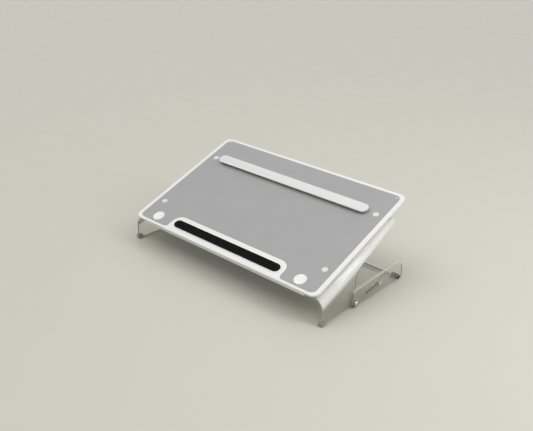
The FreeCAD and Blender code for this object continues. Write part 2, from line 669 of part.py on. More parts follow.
def make_leg(side, sign):
    """Clear plate outside a wall: it turns on the pivot screw and carries the cross rod and the peg."""
    body = add_body(f"leg_{side}", False)
    outline = add_sketch(body, "leg_outline", "YZ_Plane", ("0", "0", f"{sign} * {LEG_INSIDE}"))
    leg_front = "(pivot_position - leg_nose)"
    leg_rear = "(pivot_position + leg_reach)"
    add_outline(outline, (
        (leg_front, "leg_clearance"),
        (leg_rear, "leg_clearance"),
        (f"{leg_rear} - leg_slant", "leg_rear_top"),
        (leg_front, "leg_front_top"),
    ))
    plate = pad(body, outline, "leg_thickness", backward=sign < 0)
    round_corners(body, plate, outline, {
        "leg_front_corner": (0, 3),
        "leg_rear_corner": (2,),
        "leg_heel": (1,),
    })
    holes = add_sketch(body, "leg_holes", "YZ_Plane")
    add_circle(holes, "pivot_position", "pivot_height", "pivot_diameter + 2 * screw_gap")
    add_circle(holes, ROD_POSITION, ROD_HEIGHT, "rod_diameter + 2 * screw_gap")
    peg_y, peg_z = last_peg_hole()
    for number in range(PEG_HOLES):
        add_circle(holes, f"{peg_y} - {number} * hole_pitch", f"{peg_z} - {number} * hole_rise",
                   "peg_diameter + 2 * screw_gap")
    pocket(body, holes)


def make_crosswise(label, signs, place, profile):
    """Round pieces whose axis runs across the object; the profile gives position and radius."""
    body = add_body(label, False, len(signs))
    position, height = place
    for sign in signs:
        sketch = add_sketch(body, "profile", "XZ_Plane", ("0", height, f"-({position})"))
        add_outline(sketch, [(f"{sign} * ({along})", radius) for along, radius in profile])
        turn(body, sketch, "H_Axis")


def headed_pin(inner_end, head_start, diameter, head, head_length):
    """Profile of a pin from its inner end to the outer end of its head."""
    return (
        (inner_end, "0"),
        (inner_end, f"{diameter} / 2"),
        (head_start, f"{diameter} / 2"),
        (head_start, f"{head} / 2"),
        (f"{head_start} + {head_length}", f"{head} / 2"),
        (f"{head_start} + {head_length}", "0"),
    )


def make_pegs():
    """Loose pegs with a knob outside the leg plate; they bear under the wall's arm."""
    profile = headed_pin(f"{WALL_INSIDE} - peg_reach", LEG_OUTSIDE, "peg_diameter", "peg_head",
                         "peg_head_length")
    for side, sign in SIDES:
        make_crosswise(f"peg_{side}", (sign,), last_peg_hole(), profile)


def add_hexagon(sketch, across, up, width):
    """Six-sided outline with two level sides, as wide as given across its flats."""
    corners = []
    for over, high in ((-1, -1), (1, -1), (2, 0), (1, 1), (-1, 1), (-2, 0)):
        corners.append((f"({across}) + {over} * {width} * tan(30) / 2", f"({up}) + {high} * {width} / 2"))
    add_outline(sketch, corners)


def make_pivots():
    """Screws that the leg plates turn on, with their heads outside and nuts inside the walls."""
    tail_end = f"{WALL_INSIDE} - pivot_nut_height - pivot_tail"
    profile = headed_pin(tail_end, f"{LEG_OUTSIDE} + leg_gap", "pivot_diameter", "pivot_head",
                         "pivot_head_length")
    make_crosswise("pivot_screws", (-1, 1), ("pivot_position", "pivot_height"), profile)
    body = add_body("pivot_nuts", False, 2)
    for sign in (-1, 1):
        sketch = add_sketch(body, "nut_outline", "YZ_Plane", ("0", "0", f"{sign} * {WALL_INSIDE}"))
        add_hexagon(sketch, "pivot_position", "pivot_height", "pivot_nut_width")
        add_circle(sketch, "pivot_position", "pivot_height", "pivot_diameter + 2 * screw_gap")
        pad(body, sketch, "pivot_nut_height", backward=sign > 0)


def make_cross_rod():
    """Rod that joins the two leg plates, its soft sleeves, which rest on the desk, and its end buttons."""
    place = (ROD_POSITION, ROD_HEIGHT)
    make_crosswise("cross_rod", (1,), place,
                   rectangle(f"-{LEG_OUTSIDE}", "0", LEG_OUTSIDE, "rod_diameter / 2"))
    sleeve_end = f"({LEG_INSIDE} - sleeve_gap)"
    make_crosswise("rod_sleeve", (-1, 1), place, rectangle(
        f"{sleeve_end} - sleeve_length", "rod_diameter / 2 + screw_gap", sleeve_end, "sleeve_diameter / 2"))
    make_crosswise("rod_caps", (-1, 1), place, rectangle(
        LEG_OUTSIDE, "0", f"{LEG_OUTSIDE} + rod_cap_length", "rod_cap_diameter / 2"))


def write_pieces():
    """Check every object of the document, then write each body to its own file."""
    doc.recompute()
    for item in doc.Objects:
        if "Invalid" in item.State or "Error" in item.State:
            raise ValueError(f"{item.Label} has the state {item.State}")
    bodies = [item for item in doc.Objects if item.TypeId == "PartDesign::Body"]
    for body in bodies:
        shape = body.Shape
        if shape.isNull() or not shape.isValid() or len(shape.Solids) != body.SolidCount:
            raise ValueError(f"{body.Label} isn't {body.SolidCount} valid solids")
    os.makedirs("parts", exist_ok=True)
    for body in bodies:
        body.Shape.exportStep(f"parts/{body.Label}.step")
    print(len(bodies), "bodies written")


make_board()
make_mat()
make_pen_strip()
make_badge_discs()
make_runner_screws()
make_stop_pins()
make_guide()
make_stand()
for side, sign in SIDES:
    make_runner(side, sign)
    for end in SHOE_STARTS:
        make_shoe(end, side, sign)
    make_front_foot(side, sign)
    make_leg(side, sign)
make_pegs()
make_pivots()
make_cross_rod()
write_pieces()
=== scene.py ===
import json
import math

import bmesh
import bpy
from bpy.props import FloatProperty, FloatVectorProperty, IntProperty, PointerProperty
from bpy.types import NodeSocket, Operator, Panel, PropertyGroup
from mathutils import Euler, Matrix, Vector


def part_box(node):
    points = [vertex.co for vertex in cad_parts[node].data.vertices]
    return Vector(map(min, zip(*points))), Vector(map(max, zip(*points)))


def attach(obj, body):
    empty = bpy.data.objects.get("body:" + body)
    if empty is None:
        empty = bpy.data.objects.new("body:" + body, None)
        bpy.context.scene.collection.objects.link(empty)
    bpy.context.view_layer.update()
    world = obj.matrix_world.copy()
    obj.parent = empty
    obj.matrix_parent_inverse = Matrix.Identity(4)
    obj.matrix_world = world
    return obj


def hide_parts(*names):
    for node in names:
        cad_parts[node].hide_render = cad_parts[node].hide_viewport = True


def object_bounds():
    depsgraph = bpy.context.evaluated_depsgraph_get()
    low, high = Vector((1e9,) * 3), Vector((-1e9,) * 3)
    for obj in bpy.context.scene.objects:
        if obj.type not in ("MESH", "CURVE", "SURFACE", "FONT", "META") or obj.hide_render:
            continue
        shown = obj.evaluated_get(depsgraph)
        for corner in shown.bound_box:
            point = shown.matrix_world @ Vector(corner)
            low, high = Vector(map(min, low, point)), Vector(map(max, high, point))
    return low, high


bl_info = {
    "name": "Writing slope",
    "version": (1, 0, 0),
    "blender": (4, 5, 0),
    "location": "3D View > Sidebar > Slope",
    "description": "Gives the packed writing slope its finishes, its small turned pieces and a stage",
    "category": "Object",
}

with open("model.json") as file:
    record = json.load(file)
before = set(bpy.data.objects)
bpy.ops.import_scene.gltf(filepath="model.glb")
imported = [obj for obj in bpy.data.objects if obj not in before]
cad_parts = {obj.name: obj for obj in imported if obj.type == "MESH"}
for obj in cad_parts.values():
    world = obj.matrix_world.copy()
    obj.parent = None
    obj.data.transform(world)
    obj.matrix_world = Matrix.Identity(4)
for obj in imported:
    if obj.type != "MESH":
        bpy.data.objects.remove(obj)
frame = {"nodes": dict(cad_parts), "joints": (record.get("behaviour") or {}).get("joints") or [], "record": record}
cad_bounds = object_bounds()

MM = 0.001
ROUND = 0
HEX = 6
SAME_POINT = 0.001 * MM
SAME_CORNER = 0.0001 * MM
SHARP = math.radians(40)
KNURL_DEPTH = 0.035
SCREW_GAP = 0.05 * MM
SIDE_WIDTH = 0.7
SIDE_DEPTH = 2.2
BOUNCES = 32

# The slope's own directions, from the joint that the board slides on.
ACROSS = Vector((1, 0, 0))
UPHILL = -Vector(next(joint for joint in frame["joints"] if joint["name"] == "board_slide")["axis"])
OUTWARD = ACROSS.cross(UPHILL)
SLOPE = Matrix((ACROSS, UPHILL, OUTWARD)).transposed()
TO_RIGHT = Matrix(((0, 1, 0), (0, 0, 1), (1, 0, 0))).transposed()
TO_LEFT = Matrix(((0, -1, 0), (0, 0, 1), (-1, 0, 0))).transposed()

BODY_OF = {node: body for body, nodes in frame["record"]["behaviour"]["bodies"].items() for node in nodes}


# Settings that a user would change.

class SlopeColours(PropertyGroup):
    """Colours of the finishes."""

    board: FloatVectorProperty(
        name="Board", description="White sheet of the board", subtype="COLOR",
        min=0, max=1, default=(0.80, 0.80, 0.79))
    mat: FloatVectorProperty(
        name="Mat", description="Grey covering in the board", subtype="COLOR",
        min=0, max=1, default=(0.348, 0.348, 0.348))
    rubber: FloatVectorProperty(
        name="Rubber", description="Pen ledge and the sleeves on the cross rod", subtype="COLOR",
        min=0, max=1, default=(0.006, 0.006, 0.0065))
    white_parts: FloatVectorProperty(
        name="White parts", description="Discs, screw heads and page guide", subtype="COLOR",
        min=0, max=1, default=(0.84, 0.84, 0.83))
    clear: FloatVectorProperty(
        name="Clear sheet", description="Tint of the clear sheet", subtype="COLOR",
        min=0, max=1, default=(0.865, 0.855, 0.79))
    # Painted highlight: pale colour that the bent corners of the clear sheet take in place of the light they
    # reflect.
    bend: FloatVectorProperty(
        name="Painted highlight on bends", description="Painted highlight on the bent corners of the clear sheet", subtype="COLOR",
        min=0, max=1, default=(0.97, 0.97, 0.95))
    # The sawn edges lighten this colour where they face up and darken it where they face down or line a peg hole,
    # as painted light and shade.
    cut_edge: FloatVectorProperty(
        name="Cut edge", description="Sawn edges of the clear sheet", subtype="COLOR",
        min=0, max=1, default=(0.48, 0.475, 0.40))
    shoe: FloatVectorProperty(
        name="Shoes", description="Channels that the board slides in", subtype="COLOR",
        min=0, max=1, default=(0.62, 0.62, 0.60))
    foot: FloatVectorProperty(
        name="Feet", description="Soft feet of the stand and of the page guide", subtype="COLOR",
        min=0, max=1, default=(0.40, 0.39, 0.33))
    steel: FloatVectorProperty(
        name="Steel", description="Screws, pins, pegs and rod", subtype="COLOR",
        min=0, max=1, default=(0.60, 0.60, 0.61))
    rail: FloatVectorProperty(
        name="Rails", description="Aluminium rails under the board", subtype="COLOR",
        min=0, max=1, default=(0.70, 0.71, 0.72))
    floor: FloatVectorProperty(
        name="Floor", description="Plain floor of the stage", subtype="COLOR",
        min=0, max=1, default=(0.575, 0.562, 0.49))


class SlopeDetails(PropertyGroup):
    """Sizes of the details that the dressing adds."""

    edge_round: FloatProperty(
        name="Edge rounding", description="Rounding of the edges of sheets and bars",
        default=0.5 * MM, min=0.05 * MM, max=2 * MM, unit="LENGTH")
    small_round: FloatProperty(
        name="Small rounding", description="Rounding of the edges of turned pieces",
        default=0.3 * MM, min=0.05 * MM, max=1 * MM, unit="LENGTH")
    sheet_thickness: FloatProperty(
        name="Clear sheet", description="Thickness of the clear sheet",
        default=5 * MM, min=2 * MM, max=10 * MM, unit="LENGTH")
    bend_radius: FloatProperty(
        name="Bend", description="Outer radius of the clear sheet's bends",
        default=21 * MM, min=8 * MM, max=40 * MM, unit="LENGTH")
    clearness: FloatProperty(
        name="Clearness", description="How much light the clear sheet's faces let through",
        subtype="FACTOR", default=0.95, min=0, max=1)
    # Painted highlight: the bent corners lose this much clearness, so that their pale colour shows as a highlight
    # band.
    bend_highlight_strength: FloatProperty(
        name="Painted highlight on bends", description="How much clearness the bent corners lose for their painted highlight",
        subtype="FACTOR", default=0.8, min=0, max=1)
    edge_clearness: FloatProperty(
        name="Edge clearness", description="How much light the sawn edges let through",
        subtype="FACTOR", default=0.3, min=0, max=1)
    hole_pitch: FloatProperty(
        name="Hole pitch", description="Peg hole to peg hole, level",
        default=10.4 * MM, min=5 * MM, max=20 * MM, unit="LENGTH")
    hole_rise: FloatProperty(
        name="Hole rise", description="Peg hole to peg hole, upward",
        default=1 * MM, min=0, max=5 * MM, unit="LENGTH")
    rib_count: IntProperty(
        name="Grooves", description="Grooves along the pen ledge", default=4, min=1, max=9)
    rib_pitch: FloatProperty(
        name="Groove pitch", description="Groove to groove across the pen ledge",
        default=4 * MM, min=1 * MM, max=8 * MM, unit="LENGTH")
    rib_gap: FloatProperty(
        name="Groove width", description="Width of a groove at its top",
        default=2 * MM, min=0.5 * MM, max=4 * MM, unit="LENGTH")
    rib_depth: FloatProperty(
        name="Groove depth", description="Depth of a groove",
        default=1 * MM, min=0.2 * MM, max=2 * MM, unit="LENGTH")
    rib_margin: FloatProperty(
        name="Groove margin", description="Ledge's end to the end of its grooves",
        default=7 * MM, min=3 * MM, max=20 * MM, unit="LENGTH")
    socket_width: FloatProperty(
        name="Socket", description="Hexagon socket of the pivot screws, across its flats",
        default=4 * MM, min=1 * MM, max=6 * MM, unit="LENGTH")
    shoe_screw_head: FloatProperty(
        name="Shoe screw", description="Head of a shoe's screw, across",
        default=7 * MM, min=4 * MM, max=12 * MM, unit="LENGTH")
    steps: IntProperty(
        name="Steps", description="Steps round a turned piece", default=60, min=24, max=240)


class SlopeStage(PropertyGroup):
    """Camera, lamps and sky."""

    camera_place: FloatVectorProperty(
        name="Camera", description="Place of the camera", subtype="TRANSLATION", unit="LENGTH",
        default=(0.91234, -1.07679, 0.74527))
    camera_turn: FloatVectorProperty(
        name="Camera turn", description="Rotation of the camera", subtype="EULER",
        default=(math.radians(65.376), math.radians(-2.127), math.radians(41.154)))
    lens: FloatProperty(
        name="Lens", description="Focal length on a sensor 36 mm wide, in millimetres",
        default=48.43, min=10, max=200)
    key_turn: FloatVectorProperty(
        name="Key light", description="Rotation of the key light, which comes from the front and the left",
        subtype="EULER", default=(math.radians(20), math.radians(-22), 0))
    key_strength: FloatProperty(
        name="Key strength", description="Strength of the key light", default=0.8, min=0, max=5)
    key_softness: FloatProperty(
        name="Key softness", description="Angle that the key light fills", subtype="ANGLE",
        default=math.radians(40), min=0, max=math.pi)
    side_place: FloatVectorProperty(
        name="Side lamp", description="Place of the long lamp on the right", subtype="TRANSLATION",
        unit="LENGTH", default=(1.7, 0.35, 1.5))
    side_power: FloatProperty(
        name="Side power", description="Power of the lamp on the right", default=19, min=0, unit="POWER")
    sky: FloatProperty(
        name="Sky", description="Strength of the soft light from overhead", default=0.82, min=0, max=2)
    horizon: FloatProperty(
        name="Horizon", description="Share of the sky's light that comes from low down", subtype="FACTOR",
        default=0.1, min=0, max=1)


# Measuring the CAD nodes.

def solids(node):
    """Corner points of each separate solid of a CAD node, from the left one to the right one."""
    work = bmesh.new()
    work.from_mesh(frame["nodes"][node].data)
    bmesh.ops.remove_doubles(work, verts=work.verts, dist=SAME_POINT)
    found = []
    left = set(work.verts)
    while left:
        queue = [left.pop()]
        points = []
        while queue:
            corner = queue.pop()
            points.append(corner.co.copy())
            for edge in corner.link_edges:
                other = edge.other_vert(corner)
                if other in left:
                    left.remove(other)
                    queue.append(other)
        found.append(points)
    work.free()
    return sorted(found, key=lambda points: sum(point.x for point in points) / len(points))


def extent(points, axes):
    """Lowest and highest corner of some points, measured along the columns of axes."""
    turned = [axes.transposed() @ point for point in points]
    low = Vector(min(point[i] for point in turned) for i in range(3))
    high = Vector(max(point[i] for point in turned) for i in range(3))
    return low, high


def outward_axes(points):
    """Axes of a crosswise piece, whose third axis points away from the object's middle."""
    return TO_RIGHT if sum(point.x for point in points) > 0 else TO_LEFT


# Making pieces.

def add_piece(name, corners, faces, body, node=None, sharp=SHARP):
    """A mesh piece that rides on a body; it can stand for a CAD node, which it hides."""
    mesh = bpy.data.meshes.new(name)
    mesh.from_pydata(corners, [], faces)
    piece = bpy.data.objects.new(name, mesh)
    bpy.context.scene.collection.objects.link(piece)
    work = bmesh.new()
    work.from_mesh(mesh)
    bmesh.ops.remove_doubles(work, verts=work.verts, dist=SAME_CORNER)
    bmesh.ops.recalc_face_normals(work, faces=work.faces)
    for face in work.faces:
        face.smooth = True
    for edge in work.edges:
        if len(edge.link_faces) == 2 and edge.calc_face_angle() > sharp:
            edge.smooth = False
    work.to_mesh(mesh)
    work.free()
    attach(piece, body)
    if node:
        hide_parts(node)
    return piece


def outline_radius(radius, sides, angle):
    """Radius at an angle: round, a hexagon given by half its width across flats, or knurled."""
    if sides == ROUND:
        return radius
    if sides == HEX:
        sector = math.pi / 3
        return radius / math.cos((angle + sector / 2) % sector - sector / 2)
    return radius * (1 - KNURL_DEPTH * (1 + math.cos(sides * angle)))


def turned_mesh(profile, axes, centre, steps):
    """Corners and faces of a turned piece; the profile gives radius, height and kind of outline."""
    corners = []
    for radius, height, sides in profile:
        for step in range(steps):
            angle = 2 * math.pi * step / steps
            wide = outline_radius(radius, sides, angle)
            corners.append(axes @ Vector((centre[0] + wide * math.cos(angle),
                                          centre[1] + wide * math.sin(angle), height)))
    faces = []
    for ring in range(len(profile) - 1):
        for step in range(steps):
            after = (step + 1) % steps
            low, high = ring * steps, (ring + 1) * steps
            faces.append((low + step, low + after, high + after, high + step))
    return corners, faces


def turned_set(name, turned, body, node=None):
    """One piece made of several turned ones; each is given by its profile, axes, centre and steps."""
    corners, faces = [], []
    for profile, axes, centre, steps in turned:
        more_corners, more_faces = turned_mesh(profile, axes, centre, steps)
        start = len(corners)
        corners += more_corners
        faces += [tuple(start + corner for corner in face) for face in more_faces]
    return add_piece(name, corners, faces, body, node)


def turned_piece(name, node, axes_of, profile_of, steps=None):
    """One piece for all the solids of a CAD node, each turned about its own axis."""
    steps = steps or bpy.context.scene.slope_details.steps
    turned = []
    for points in solids(node):
        axes = axes_of(points)
        low, high = extent(points, axes)
        radius = max(high.x - low.x, high.y - low.y) / 2
        centre = ((low.x + high.x) / 2, (low.y + high.y) / 2)
        turned.append((profile_of(radius, low.z, high.z), axes, centre, steps))
    return turned_set(name, turned, BODY_OF[node], node)


def rounded_end(radius, height, rounding, direction):
    """Profile of a rounded rim, from the side of a cylinder to its end face."""
    steps = 3
    points = []
    for step in range(steps + 1):
        angle = math.pi / 2 * step / steps
        points.append((radius - rounding * (1 - math.cos(angle)),
                       height - direction * rounding * (1 - math.sin(angle)), ROUND))
    return points


def rounded_rod(radius, low, high, rounding):
    """Profile of a rod whose two ends are rounded."""
    return ([(0, low, ROUND)] + rounded_end(radius, low, rounding, -1)[::-1]
            + rounded_end(radius, high, rounding, 1) + [(0, high, ROUND)])


def with_socket(width, height, depth):
    """Profile of a hexagon socket, from its countersunk rim to its drilled floor."""
    half = width / 2
    rim = 0.15 * MM
    sink = 0.1 * MM
    return [(half + rim, height, ROUND), (half, height - sink, HEX),
            (half, height - depth, HEX), (0, height - depth * 1.15, ROUND)]


def dress(node, material, rounding):
    """Give a CAD node its material and, through modifiers, rounded edges."""
    thing = frame["nodes"][node]
    for slot in thing.material_slots:
        slot.material = material
    weld = thing.modifiers.new("weld", "WELD")
    weld.merge_threshold = SAME_POINT
    flats = thing.modifiers.new("flats", "DECIMATE")
    flats.decimate_type = "DISSOLVE"
    flats.angle_limit = math.radians(0.5)
    bevel = thing.modifiers.new("rounding", "BEVEL")
    bevel.width = rounding
    bevel.segments = 2
    bevel.limit_method = "ANGLE"
    bevel.angle_limit = SHARP
    bevel.harden_normals = True


# Finishes.

def add_node(tree, kind, inputs=(), **settings):
    """Add a shader node; a value in inputs is a number, a colour or another node's output."""
    made = tree.nodes.new("ShaderNode" + kind)
    for key, value in settings.items():
        setattr(made, key, value)
    for key, value in dict(inputs).items():
        if isinstance(value, NodeSocket):
            tree.links.new(value, made.inputs[key])
        else:
            made.inputs[key].default_value = value
    return made


def noise(tree, where, scale, detail=3, roughness=0.55):
    """Even noise from 0 to 1; scale counts its waves in a metre."""
    made = add_node(tree, "TexNoise", {"Vector": where, "Scale": scale, "Detail": detail,
                                       "Roughness": roughness})
    return made.outputs[0]


def spread(tree, value, low, high, to_low, to_high):
    """Map a value from one range to another, held at both ends."""
    made = add_node(tree, "MapRange", {"Value": value, "From Min": low, "From Max": high,
                                       "To Min": to_low, "To Max": to_high})
    return made.outputs[0]


def math_node(tree, operation, first, second=0.0):
    """One arithmetic step."""
    return add_node(tree, "Math", {0: first, 1: second}, operation=operation).outputs[0]


def product(tree, first, *others):
    """Product of two or more values."""
    for other in others:
        first = math_node(tree, "MULTIPLY", first, other)
    return first


def along_axis(tree, vector, axis):
    """Share of a vector that runs along an axis."""
    return add_node(tree, "VectorMath", {0: vector, 1: axis}, operation="DOT_PRODUCT").outputs["Value"]


def choose(tree, amount, first, second):
    """Mix of two numbers."""
    return add_node(tree, "Mix", {0: amount, 2: first, 3: second}).outputs[0]


def between(tree, amount, first, second):
    """Mix of two colours."""
    mix = add_node(tree, "Mix", data_type="RGBA")
    for socket, value in ((0, amount), (6, first), (7, second)):
        if isinstance(value, NodeSocket):
            tree.links.new(value, mix.inputs[socket])
        else:
            mix.inputs[socket].default_value = value if socket == 0 else (*value[:3], 1)
    return mix.outputs[2]


def shade(colour, factor):
    """A colour made darker or lighter."""
    return tuple(min(1, part * factor) for part in colour[:3])


def add_bump(tree, shader, relief, strength, height):
    """Fine relief of a finish."""
    bump = add_node(tree, "Bump", {"Strength": strength, "Distance": height, "Height": relief})
    tree.links.new(bump.outputs[0], shader.inputs["Normal"])


def start_material(name, constants):
    """Empty material with its main shader, the object's coordinates and fixed values in the shader."""
    material = bpy.data.materials.new(name)
    material.use_nodes = True
    tree = material.node_tree
    shader = tree.nodes["Principled BSDF"]
    for key, value in constants.items():
        shader.inputs[key].default_value = value
    where = tree.nodes.new("ShaderNodeTexCoord").outputs["Object"]
    return material, tree, shader, where


def stretched(tree, where, stretch):
    """Coordinates that are stretched along an axis, for brushed and turned marks."""
    return add_node(tree, "Mapping", {"Vector": where, "Scale": stretch}).outputs[0]


def moulded(name, colour, contrast, patches, rough, grain, height, pores=0, stretch=None, constants=()):
    """Plastic, rubber or metal with uneven tone, smudges in its gloss and a fine grain.

    contrast is how much the tone differs, patches and grain count their waves in a metre, rough is the
    range of roughness, height the depth of the grain, and pores counts open cells in a metre.
    """
    known = bpy.data.materials.get(name)
    if known:
        return known
    material, tree, shader, where = start_material(name, dict(constants))
    if stretch:
        where = stretched(tree, where, stretch)
    tone = noise(tree, where, patches, 4, 0.6)
    fine = noise(tree, where, grain, 2, 0.5)
    mixed = math_node(tree, "ADD", product(tree, tone, 0.7), product(tree, fine, 0.3))
    amount = spread(tree, mixed, 0.3, 0.7, 0, 1)
    tree.links.new(between(tree, amount, shade(colour, 1 - contrast), shade(colour, 1 + contrast)),
                   shader.inputs["Base Color"])
    smudge = noise(tree, where, patches * 2.3, 5, 0.65)
    tree.links.new(spread(tree, smudge, 0.35, 0.7, *rough), shader.inputs["Roughness"])
    relief = fine
    if pores:
        cells = add_node(tree, "TexVoronoi", {"Vector": where, "Scale": pores}).outputs["Distance"]
        relief = math_node(tree, "ADD", product(tree, cells, 0.8), product(tree, fine, 0.35))
    add_bump(tree, shader, relief, 0.6, height)
    return material


def cut_mask(tree, place, parts, uphill, outward, details):
    """1 on the sawn edges of the clear sheet and 0 on its faces, judged by where a face looks."""
    end_cut = math_node(tree, "GREATER_THAN", math_node(tree, "ABSOLUTE", uphill), 0.25)
    in_wall = math_node(tree, "GREATER_THAN", place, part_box("stand")[1].x - details.sheet_thickness)
    level = math_node(tree, "LESS_THAN", math_node(tree, "ABSOLUTE", parts[0]), 0.6)
    straight = math_node(tree, "LESS_THAN", outward, stand_top() - details.bend_radius)
    return math_node(tree, "MAXIMUM", end_cut, product(tree, in_wall, level, straight))


def bend_highlight_mask(tree, place, outward, where, details):
    """1 in the bent corners of the clear sheet, where a painted highlight goes, with streaks along them, and 0
    elsewhere.
    """
    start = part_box("stand")[1].x - details.bend_radius
    foot = stand_top() - details.bend_radius
    side = spread(tree, place, start - 2 * MM, start + 6 * MM, 0, 1)
    rise = spread(tree, outward, foot - 3 * MM, foot + details.bend_radius * 0.4, 0, 1)
    streaks = noise(tree, stretched(tree, where, (30, 1, 1)), 30, 3, 0.6)
    return product(tree, side, rise, spread(tree, streaks, 0.3, 0.7, 0.8, 1))


def peg_hole_shade_mask(tree, place, where, details):
    """1 in the row of peg holes of the leg plates, which starts at the peg, and 0 elsewhere; the hole walls there
    take a painted shade.
    """
    holes = 5
    half_height = 3.2 * MM
    low, high = extent(solids("peg_right")[0], SLOPE)
    start = SLOPE @ ((low + high) / 2)
    row = Vector((0, -details.hole_pitch, -details.hole_rise))
    from_start = add_node(tree, "VectorMath", {0: where, 1: Vector((0, start.y, start.z))},
                          operation="SUBTRACT").outputs[0]
    along = along_axis(tree, from_start, row.normalized())
    above = along_axis(tree, from_start, row.cross(ACROSS).normalized())
    in_row = add_node(tree, "Math", {0: along, 1: row.length * (holes - 1) / 2, 2: row.length * holes / 2},
                      operation="COMPARE").outputs[0]
    near_row = math_node(tree, "LESS_THAN", math_node(tree, "ABSOLUTE", above), half_height)
    in_plate = math_node(tree, "GREATER_THAN", place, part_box("stand")[1].x)
    return product(tree, in_row, near_row, in_plate)


def stand_top():
    """Height of the clear sheet's top, square out of the slope."""
    stand = frame["nodes"]["stand"]
    return max(OUTWARD.dot(stand.matrix_world @ corner.co) for corner in stand.data.vertices)


def clear_sheet(colours, details):
    """Clear plastic sheet: polished faces with faint smudges, bent corners with a painted highlight, and sawn
    edges with painted light and shade.
    """
    name = "clear_sheet_polished"
    known = bpy.data.materials.get(name)
    if known:
        return known
    material, tree, shader, where = start_material(name, {"IOR": 1.49})
    normal = tree.nodes["Texture Coordinate"].outputs["Normal"]
    parts = add_node(tree, "SeparateXYZ", {0: normal}).outputs
    place = math_node(tree, "ABSOLUTE", add_node(tree, "SeparateXYZ", {0: where}).outputs[0])
    uphill = along_axis(tree, normal, UPHILL)
    outward = along_axis(tree, where, OUTWARD)
    cut = cut_mask(tree, place, parts, uphill, outward, details)
    bend = bend_highlight_mask(tree, place, outward, where, details)
    # Where the peg holes take a painted shade.
    bore = peg_hole_shade_mask(tree, place, where, details)

    saw = noise(tree, stretched(tree, where, (1, 40, 40)), 60, 2)
    smudge = noise(tree, where, 22, 5, 0.65)
    dust = spread(tree, noise(tree, where, 260, 4, 0.7), 0.6, 0.75, 0, 0.04)
    face_rough = math_node(tree, "ADD", spread(tree, smudge, 0.4, 0.75, 0.015, 0.07), dust)
    edge_rough = spread(tree, saw, 0.3, 0.7, 0.22, 0.42)
    tree.links.new(choose(tree, cut, face_rough, edge_rough), shader.inputs["Roughness"])

    # Painted light and shade: sawn edges that face up are painted pale, those that face down or line a hole are
    # painted dark.
    edge_painted_light_and_shade = choose(tree, bore, spread(tree, parts[2], -1, 1, 0.3, 1.6), 0.3)
    edge_colour_with_painted_light = add_node(tree, "VectorMath", {0: colours.cut_edge, "Scale": edge_painted_light_and_shade}, operation="SCALE")
    # Painted highlight: the bent corners take a pale colour.
    face_colour = between(tree, bend, colours.clear, colours.bend)
    tree.links.new(between(tree, cut, face_colour, edge_colour_with_painted_light.outputs[0]), shader.inputs["Base Color"])

    # The painted highlight also takes clearness from the bent corners.
    face_clear = math_node(tree, "SUBTRACT", details.clearness, product(tree, bend, details.bend_highlight_strength))
    clearness = choose(tree, cut, face_clear, details.edge_clearness)
    tree.links.new(clearness, shader.inputs["Transmission Weight"])

    waves = noise(tree, where, 14, 1)
    relief = math_node(tree, "ADD", product(tree, waves, 0.6), product(tree, saw, cut, 0.15))
    add_bump(tree, shader, relief, 0.35, 0.4 * MM)
    return material


def white_board(colours):
    """Glossy white sheet."""
    return moulded("board_white_gloss", colours.board, contrast=0.015, patches=9, rough=(0.16, 0.30),
                   grain=900, height=0.02 * MM, constants={"Coat Weight": 0.25, "Coat Roughness": 0.12})


def white_parts(colours):
    """Glossy white moulded plastic."""
    return moulded("white_moulding", colours.white_parts, contrast=0.02, patches=60, rough=(0.2, 0.34),
                   grain=1400, height=0.02 * MM)


def nylon_heads(colours):
    """Natural white nylon of the wide screw heads, a little duller than the board."""
    return moulded("nylon_heads", shade(colours.white_parts, 0.84), contrast=0.04, patches=160,
                   rough=(0.3, 0.5), grain=1400, height=0.03 * MM)


def grey_mat(colours):
    """Matt grey covering with a fine pebbled grain."""
    return moulded("mat_grey_pebbled", colours.mat, contrast=0.03, patches=14, rough=(0.5, 0.66),
                   grain=2600, height=0.06 * MM, pores=1500)


def ledge_rubber(colours):
    """Black rubber with a dull skin."""
    return moulded("ledge_rubber", colours.rubber, contrast=0.25, patches=40, rough=(0.5, 0.7),
                   grain=1800, height=0.05 * MM, constants={"Specular IOR Level": 0.05})


def sleeve_foam(colours):
    """Black foamed rubber with open pores."""
    return moulded("sleeve_foam", colours.rubber, contrast=0.3, patches=80, rough=(0.7, 0.9),
                   grain=2600, height=0.2 * MM, pores=1100, constants={"Specular IOR Level": 0.2})


def opal_plastic(colours):
    """Opal white plastic that lets a little light through."""
    return moulded("guide_opal", colours.white_parts, contrast=0.012, patches=20, rough=(0.14, 0.26),
                   grain=1200, height=0.01 * MM,
                   constants={"Transmission Weight": 0.18, "Coat Weight": 0.2})


def soft_foot(colours):
    """Greyish translucent soft plastic."""
    return moulded("foot_soft", colours.foot, contrast=0.05, patches=120, rough=(0.35, 0.55),
                   grain=1500, height=0.05 * MM, constants={"Transmission Weight": 0.25})


def shoe_plastic(colours):
    """Natural matt plastic of the shoes."""
    return moulded("shoe_natural", colours.shoe, contrast=0.03, patches=70, rough=(0.32, 0.48),
                   grain=1500, height=0.04 * MM)


def turned_steel(colours):
    """Steel with fine turning marks across the slope's width."""
    return moulded("steel_turned", colours.steel, contrast=0.06, patches=90, rough=(0.26, 0.42),
                   grain=1500, height=0.02 * MM, stretch=(1.0, 0.3, 0.3), constants={"Metallic": 1.0})


def drawn_rail(colours):
    """Anodised aluminium with long drawing marks."""
    return moulded("rail_drawn", colours.rail, contrast=0.06, patches=120, rough=(0.3, 0.45),
                   grain=2000, height=0.03 * MM, stretch=(1.0, 0.04, 0.1), constants={"Metallic": 1.0})


def dark_cap(colours):
    """Dark moulded plastic of the rod's end buttons."""
    return moulded("cap_dark", shade(colours.rubber, 2.5), contrast=0.15, patches=120, rough=(0.35, 0.5),
                   grain=1600, height=0.04 * MM)


